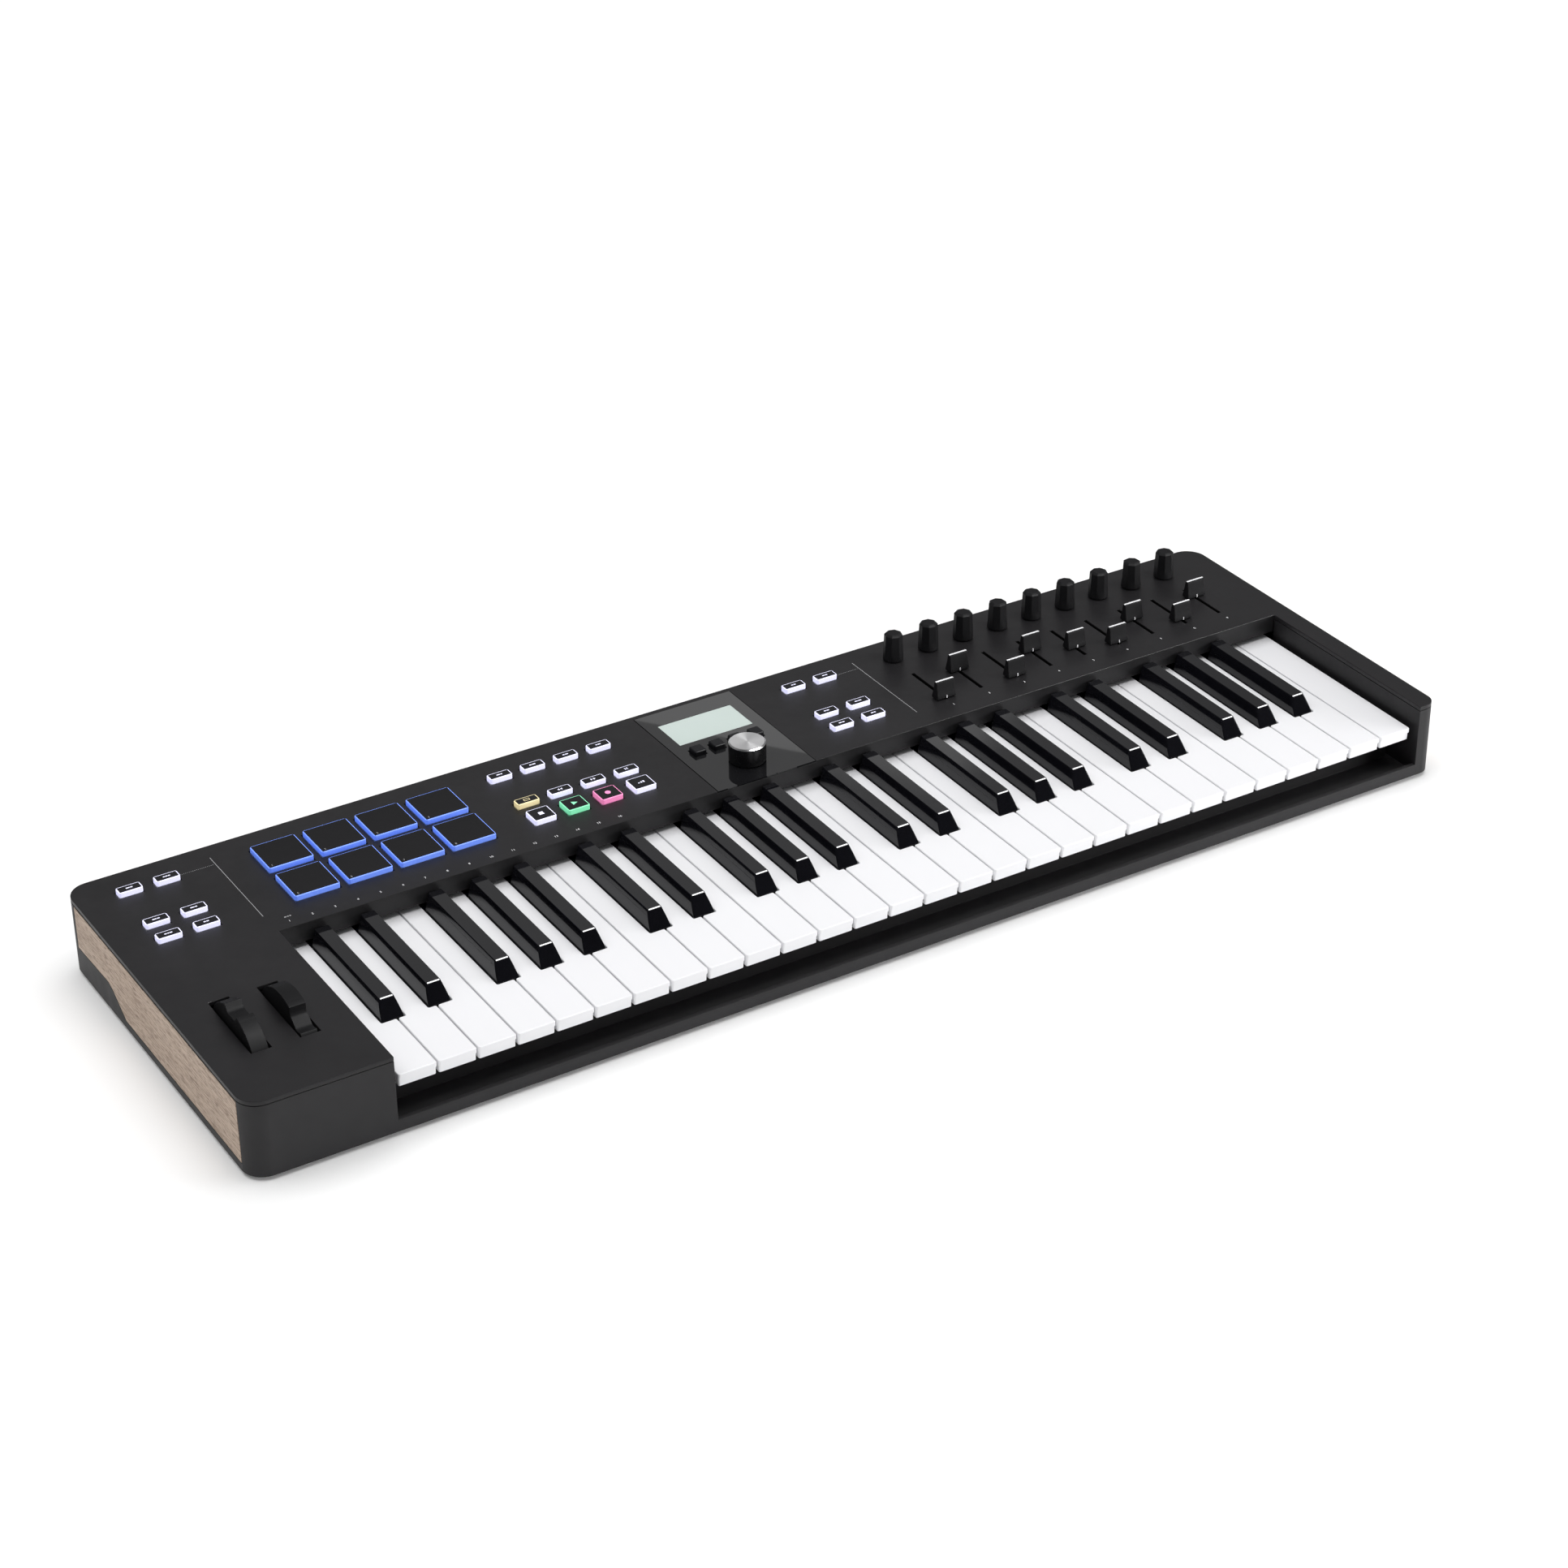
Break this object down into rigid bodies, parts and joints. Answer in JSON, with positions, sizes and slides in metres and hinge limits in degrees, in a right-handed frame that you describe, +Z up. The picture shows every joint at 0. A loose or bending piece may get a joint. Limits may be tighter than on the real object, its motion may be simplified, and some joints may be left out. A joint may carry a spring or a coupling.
{
  "type": "midi keyboard",
  "caption": "Desktop MIDI keyboard: piano keys in a shallow case with wooden end panels, pitch and mod wheels, pads, small buttons, a screen with a dial, knobs and sliding faders.",
  "frame": {"origin": "middle of the footprint, at the height of the surface the feet stand on", "axes": "+X along the keys towards the treble end, +Y from the player towards the rear, +Z up"},
  "size_m": [0.7846, 0.244, 0.0686],
  "materials": {
    "case": "fine-grained charcoal moulding",
    "deck": "fine-grained charcoal moulding",
    "wood": "pale oak veneer, open grain along the depth, unpolished",
    "white_key": "white, semi-gloss",
    "black_key": "black, semi-gloss",
    "wheel": "matte black, finely moulded",
    "control_cap": "matte black soft-touch",
    "encoder": "turned face, radial sheen",
    "pad": "black silicone face",
    "button": "black silicone face",
    "pad_light": "translucent silicone lit blue",
    "button_light": "translucent silicone lit lavender white",
    "lens": "smoked acrylic window",
    "screen": "pale reflective display",
    "print": "screen-printed legends",
    "foot": "black rubber",
    "metal": "plated steel",
    "inner": "unpainted black moulding"
  },
  "bodies": {
    "case": {"bottom_case": "case", "top_panel": "deck", "left_side_panel": "wood", "right_side_panel": "wood"},
    "pitch_wheel": {"pitch_wheel": "wheel"},
    "mod_wheel": {"mod_wheel": "wheel"},
    "encoder_knob": {"encoder_knob": "encoder"},
    "pad_mat": {"pad_mat": "pad"},
    "button_mat": {"button_mat": "button"},
    "knob_1": {"knob_1": "control_cap"},
    "knob_2": {"knob_2": "control_cap"},
    "knob_3": {"knob_3": "control_cap"},
    "knob_4": {"knob_4": "control_cap"},
    "knob_5": {"knob_5": "control_cap"},
    "knob_6": {"knob_6": "control_cap"},
    "knob_7": {"knob_7": "control_cap"},
    "knob_8": {"knob_8": "control_cap"},
    "knob_9": {"knob_9": "control_cap"},
    "fader_1": {"fader_1": "control_cap"},
    "fader_2": {"fader_2": "control_cap"},
    "fader_3": {"fader_3": "control_cap"},
    "fader_4": {"fader_4": "control_cap"},
    "fader_5": {"fader_5": "control_cap"},
    "fader_6": {"fader_6": "control_cap"},
    "fader_7": {"fader_7": "control_cap"},
    "fader_8": {"fader_8": "control_cap"},
    "fader_9": {"fader_9": "control_cap"},
    "black_keys_octave_1": {"black_keys_octave_1": "black_key"},
    "black_keys_octave_2": {"black_keys_octave_2": "black_key"},
    "black_keys_octave_3": {"black_keys_octave_3": "black_key"},
    "black_keys_octave_4": {"black_keys_octave_4": "black_key"},
    "white_key_01": {"white_key_01": "white_key"},
    "white_key_02": {"white_key_02": "white_key"},
    "white_key_03": {"white_key_03": "white_key"},
    "white_key_04": {"white_key_04": "white_key"},
    "white_key_05": {"white_key_05": "white_key"},
    "white_key_06": {"white_key_06": "white_key"},
    "white_key_07": {"white_key_07": "white_key"},
    "white_key_08": {"white_key_08": "white_key"},
    "white_key_09": {"white_key_09": "white_key"},
    "white_key_10": {"white_key_10": "white_key"},
    "white_key_11": {"white_key_11": "white_key"},
    "white_key_12": {"white_key_12": "white_key"},
    "white_key_13": {"white_key_13": "white_key"},
    "white_key_14": {"white_key_14": "white_key"},
    "white_key_15": {"white_key_15": "white_key"},
    "white_key_16": {"white_key_16": "white_key"},
    "white_key_17": {"white_key_17": "white_key"},
    "white_key_18": {"white_key_18": "white_key"},
    "white_key_19": {"white_key_19": "white_key"},
    "white_key_20": {"white_key_20": "white_key"},
    "white_key_21": {"white_key_21": "white_key"},
    "white_key_22": {"white_key_22": "white_key"},
    "white_key_23": {"white_key_23": "white_key"},
    "white_key_24": {"white_key_24": "white_key"},
    "white_key_25": {"white_key_25": "white_key"},
    "white_key_26": {"white_key_26": "white_key"},
    "white_key_27": {"white_key_27": "white_key"},
    "white_key_28": {"white_key_28": "white_key"},
    "white_key_29": {"white_key_29": "white_key"}
  },
  "joints": [
    {"name": "pitch_wheel_turn", "type": "hinge", "parent": "case", "child": "pitch_wheel", "pos_m": [-0.36375, -0.0535, 0.0321], "axis": [1, 0, 0], "range_deg": [-30, 30], "stiffness_Nm_per_rad": 0.03},
    {"name": "mod_wheel_turn", "type": "hinge", "parent": "case", "child": "mod_wheel", "pos_m": [-0.33575, -0.0535, 0.0321], "axis": [1, 0, 0], "range_deg": [-76, 0]},
    {"name": "encoder_turn", "type": "hinge", "parent": "case", "child": "encoder_knob", "pos_m": [0.0036, 0.0414, 0.0601], "axis": [0, 0, 1], "continuous": true},
    {"name": "knob_1_turn", "type": "hinge", "parent": "case", "child": "knob_1", "pos_m": [0.14365, 0.099, 0.06], "axis": [0, 0, 1], "continuous": true},
    {"name": "fader_1_slide", "type": "slide", "parent": "case", "child": "fader_1", "axis": [0, 1, 0], "range_m": [-0.0009, 0.033]},
    {"name": "pads_press", "type": "slide", "parent": "case", "child": "pad_mat", "axis": [0, 0, -1], "range_m": [0, 0.0008], "stiffness_N_per_m": 300, "springref_m": -0.01},
    {"name": "buttons_press", "type": "slide", "parent": "case", "child": "button_mat", "axis": [0, 0, -1], "range_m": [0, 0.0008], "stiffness_N_per_m": 300, "springref_m": -0.01},
    {"name": "black_keys_octave_1_press", "type": "hinge", "parent": "case", "child": "black_keys_octave_1", "pos_m": [0, 0.063, 0.028], "axis": [1, 0, 0], "range_deg": [0, 3.1], "stiffness_Nm_per_rad": 0.6, "springref_deg": -20.05},
    {"name": "white_key_01_press", "type": "hinge", "parent": "case", "child": "white_key_01", "pos_m": [0, 0.063, 0.028], "axis": [1, 0, 0], "range_deg": [0, 3.1], "stiffness_Nm_per_rad": 0.3, "springref_deg": -17.19},
    {"name": "fader_2_slide", "type": "slide", "parent": "case", "child": "fader_2", "axis": [0, 1, 0], "range_m": [-0.025, 0.0089]},
    {"name": "fader_5_slide", "type": "slide", "parent": "case", "child": "fader_5", "axis": [0, 1, 0], "range_m": [-0.0104, 0.0235]},
    {"name": "fader_9_slide", "type": "slide", "parent": "case", "child": "fader_9", "axis": [0, 1, 0], "range_m": [-0.025, 0.0089]},
    {"name": "knob_9_turn", "type": "hinge", "parent": "case", "child": "knob_9", "pos_m": [0.35165, 0.099, 0.06], "axis": [0, 0, 1], "continuous": true},
    {"name": "black_keys_octave_2_press", "type": "hinge", "parent": "case", "child": "black_keys_octave_2", "pos_m": [0, 0.063, 0.028], "axis": [1, 0, 0], "range_deg": [0, 3.1], "stiffness_Nm_per_rad": 0.6, "springref_deg": -20.05},
    {"name": "black_keys_octave_3_press", "type": "hinge", "parent": "case", "child": "black_keys_octave_3", "pos_m": [0, 0.063, 0.028], "axis": [1, 0, 0], "range_deg": [0, 3.1], "stiffness_Nm_per_rad": 0.6, "springref_deg": -20.05},
    {"name": "black_keys_octave_4_press", "type": "hinge", "parent": "case", "child": "black_keys_octave_4", "pos_m": [0, 0.063, 0.028], "axis": [1, 0, 0], "range_deg": [0, 3.1], "stiffness_Nm_per_rad": 0.6, "springref_deg": -20.05},
    {"name": "white_key_15_press", "type": "hinge", "parent": "case", "child": "white_key_15", "pos_m": [0, 0.063, 0.028], "axis": [1, 0, 0], "range_deg": [0, 3.1], "stiffness_Nm_per_rad": 0.3, "springref_deg": -17.19},
    {"name": "white_key_29_press", "type": "hinge", "parent": "case", "child": "white_key_29", "pos_m": [0, 0.063, 0.028], "axis": [1, 0, 0], "range_deg": [0, 3.1], "stiffness_Nm_per_rad": 0.3, "springref_deg": -17.19},
    {"name": "white_key_02_press", "type": "hinge", "parent": "case", "child": "white_key_02", "pos_m": [0, 0.063, 0.028], "axis": [1, 0, 0], "range_deg": [0, 3.1], "stiffness_Nm_per_rad": 0.3, "springref_deg": -17.19},
    {"name": "white_key_03_press", "type": "hinge", "parent": "case", "child": "white_key_03", "pos_m": [0, 0.063, 0.028], "axis": [1, 0, 0], "range_deg": [0, 3.1], "stiffness_Nm_per_rad": 0.3, "springref_deg": -17.19},
    {"name": "fader_3_slide", "type": "slide", "parent": "case", "child": "fader_3", "axis": [0, 1, 0], "range_m": [-0.0005, 0.0334]},
    {"name": "fader_4_slide", "type": "slide", "parent": "case", "child": "fader_4", "axis": [0, 1, 0], "range_m": [-0.0214, 0.0125]},
    {"name": "fader_6_slide", "type": "slide", "parent": "case", "child": "fader_6", "axis": [0, 1, 0], "range_m": [-0.002, 0.0319]},
    {"name": "fader_7_slide", "type": "slide", "parent": "case", "child": "fader_7", "axis": [0, 1, 0], "range_m": [-0.0211, 0.0128]},
    {"name": "fader_8_slide", "type": "slide", "parent": "case", "child": "fader_8", "axis": [0, 1, 0], "range_m": [-0.0048, 0.0291]},
    {"name": "knob_2_turn", "type": "hinge", "parent": "case", "child": "knob_2", "pos_m": [0.16965, 0.099, 0.06], "axis": [0, 0, 1], "continuous": true},
    {"name": "knob_3_turn", "type": "hinge", "parent": "case", "child": "knob_3", "pos_m": [0.19565, 0.099, 0.06], "axis": [0, 0, 1], "continuous": true},
    {"name": "knob_4_turn", "type": "hinge", "parent": "case", "child": "knob_4", "pos_m": [0.22165, 0.099, 0.06], "axis": [0, 0, 1], "continuous": true},
    {"name": "knob_5_turn", "type": "hinge", "parent": "case", "child": "knob_5", "pos_m": [0.24765, 0.099, 0.06], "axis": [0, 0, 1], "continuous": true},
    {"name": "knob_6_turn", "type": "hinge", "parent": "case", "child": "knob_6", "pos_m": [0.27365, 0.099, 0.06], "axis": [0, 0, 1], "continuous": true},
    {"name": "knob_7_turn", "type": "hinge", "parent": "case", "child": "knob_7", "pos_m": [0.29965, 0.099, 0.06], "axis": [0, 0, 1], "continuous": true},
    {"name": "knob_8_turn", "type": "hinge", "parent": "case", "child": "knob_8", "pos_m": [0.32565, 0.099, 0.06], "axis": [0, 0, 1], "continuous": true},
    {"name": "white_key_04_press", "type": "hinge", "parent": "case", "child": "white_key_04", "pos_m": [0, 0.063, 0.028], "axis": [1, 0, 0], "range_deg": [0, 3.1], "stiffness_Nm_per_rad": 0.3, "springref_deg": -17.19},
    {"name": "white_key_05_press", "type": "hinge", "parent": "case", "child": "white_key_05", "pos_m": [0, 0.063, 0.028], "axis": [1, 0, 0], "range_deg": [0, 3.1], "stiffness_Nm_per_rad": 0.3, "springref_deg": -17.19},
    {"name": "white_key_06_press", "type": "hinge", "parent": "case", "child": "white_key_06", "pos_m": [0, 0.063, 0.028], "axis": [1, 0, 0], "range_deg": [0, 3.1], "stiffness_Nm_per_rad": 0.3, "springref_deg": -17.19},
    {"name": "white_key_07_press", "type": "hinge", "parent": "case", "child": "white_key_07", "pos_m": [0, 0.063, 0.028], "axis": [1, 0, 0], "range_deg": [0, 3.1], "stiffness_Nm_per_rad": 0.3, "springref_deg": -17.19},
    {"name": "white_key_08_press", "type": "hinge", "parent": "case", "child": "white_key_08", "pos_m": [0, 0.063, 0.028], "axis": [1, 0, 0], "range_deg": [0, 3.1], "stiffness_Nm_per_rad": 0.3, "springref_deg": -17.19},
    {"name": "white_key_09_press", "type": "hinge", "parent": "case", "child": "white_key_09", "pos_m": [0, 0.063, 0.028], "axis": [1, 0, 0], "range_deg": [0, 3.1], "stiffness_Nm_per_rad": 0.3, "springref_deg": -17.19},
    {"name": "white_key_10_press", "type": "hinge", "parent": "case", "child": "white_key_10", "pos_m": [0, 0.063, 0.028], "axis": [1, 0, 0], "range_deg": [0, 3.1], "stiffness_Nm_per_rad": 0.3, "springref_deg": -17.19},
    {"name": "white_key_11_press", "type": "hinge", "parent": "case", "child": "white_key_11", "pos_m": [0, 0.063, 0.028], "axis": [1, 0, 0], "range_deg": [0, 3.1], "stiffness_Nm_per_rad": 0.3, "springref_deg": -17.19},
    {"name": "white_key_12_press", "type": "hinge", "parent": "case", "child": "white_key_12", "pos_m": [0, 0.063, 0.028], "axis": [1, 0, 0], "range_deg": [0, 3.1], "stiffness_Nm_per_rad": 0.3, "springref_deg": -17.19},
    {"name": "white_key_13_press", "type": "hinge", "parent": "case", "child": "white_key_13", "pos_m": [0, 0.063, 0.028], "axis": [1, 0, 0], "range_deg": [0, 3.1], "stiffness_Nm_per_rad": 0.3, "springref_deg": -17.19},
    {"name": "white_key_14_press", "type": "hinge", "parent": "case", "child": "white_key_14", "pos_m": [0, 0.063, 0.028], "axis": [1, 0, 0], "range_deg": [0, 3.1], "stiffness_Nm_per_rad": 0.3, "springref_deg": -17.19},
    {"name": "white_key_16_press", "type": "hinge", "parent": "case", "child": "white_key_16", "pos_m": [0, 0.063, 0.028], "axis": [1, 0, 0], "range_deg": [0, 3.1], "stiffness_Nm_per_rad": 0.3, "springref_deg": -17.19},
    {"name": "white_key_17_press", "type": "hinge", "parent": "case", "child": "white_key_17", "pos_m": [0, 0.063, 0.028], "axis": [1, 0, 0], "range_deg": [0, 3.1], "stiffness_Nm_per_rad": 0.3, "springref_deg": -17.19},
    {"name": "white_key_18_press", "type": "hinge", "parent": "case", "child": "white_key_18", "pos_m": [0, 0.063, 0.028], "axis": [1, 0, 0], "range_deg": [0, 3.1], "stiffness_Nm_per_rad": 0.3, "springref_deg": -17.19},
    {"name": "white_key_19_press", "type": "hinge", "parent": "case", "child": "white_key_19", "pos_m": [0, 0.063, 0.028], "axis": [1, 0, 0], "range_deg": [0, 3.1], "stiffness_Nm_per_rad": 0.3, "springref_deg": -17.19},
    {"name": "white_key_20_press", "type": "hinge", "parent": "case", "child": "white_key_20", "pos_m": [0, 0.063, 0.028], "axis": [1, 0, 0], "range_deg": [0, 3.1], "stiffness_Nm_per_rad": 0.3, "springref_deg": -17.19},
    {"name": "white_key_21_press", "type": "hinge", "parent": "case", "child": "white_key_21", "pos_m": [0, 0.063, 0.028], "axis": [1, 0, 0], "range_deg": [0, 3.1], "stiffness_Nm_per_rad": 0.3, "springref_deg": -17.19},
    {"name": "white_key_22_press", "type": "hinge", "parent": "case", "child": "white_key_22", "pos_m": [0, 0.063, 0.028], "axis": [1, 0, 0], "range_deg": [0, 3.1], "stiffness_Nm_per_rad": 0.3, "springref_deg": -17.19},
    {"name": "white_key_23_press", "type": "hinge", "parent": "case", "child": "white_key_23", "pos_m": [0, 0.063, 0.028], "axis": [1, 0, 0], "range_deg": [0, 3.1], "stiffness_Nm_per_rad": 0.3, "springref_deg": -17.19},
    {"name": "white_key_24_press", "type": "hinge", "parent": "case", "child": "white_key_24", "pos_m": [0, 0.063, 0.028], "axis": [1, 0, 0], "range_deg": [0, 3.1], "stiffness_Nm_per_rad": 0.3, "springref_deg": -17.19},
    {"name": "white_key_25_press", "type": "hinge", "parent": "case", "child": "white_key_25", "pos_m": [0, 0.063, 0.028], "axis": [1, 0, 0], "range_deg": [0, 3.1], "stiffness_Nm_per_rad": 0.3, "springref_deg": -17.19},
    {"name": "white_key_26_press", "type": "hinge", "parent": "case", "child": "white_key_26", "pos_m": [0, 0.063, 0.028], "axis": [1, 0, 0], "range_deg": [0, 3.1], "stiffness_Nm_per_rad": 0.3, "springref_deg": -17.19},
    {"name": "white_key_27_press", "type": "hinge", "parent": "case", "child": "white_key_27", "pos_m": [0, 0.063, 0.028], "axis": [1, 0, 0], "range_deg": [0, 3.1], "stiffness_Nm_per_rad": 0.3, "springref_deg": -17.19},
    {"name": "white_key_28_press", "type": "hinge", "parent": "case", "child": "white_key_28", "pos_m": [0, 0.063, 0.028], "axis": [1, 0, 0], "range_deg": [0, 3.1], "stiffness_Nm_per_rad": 0.3, "springref_deg": -17.19}
  ]
}
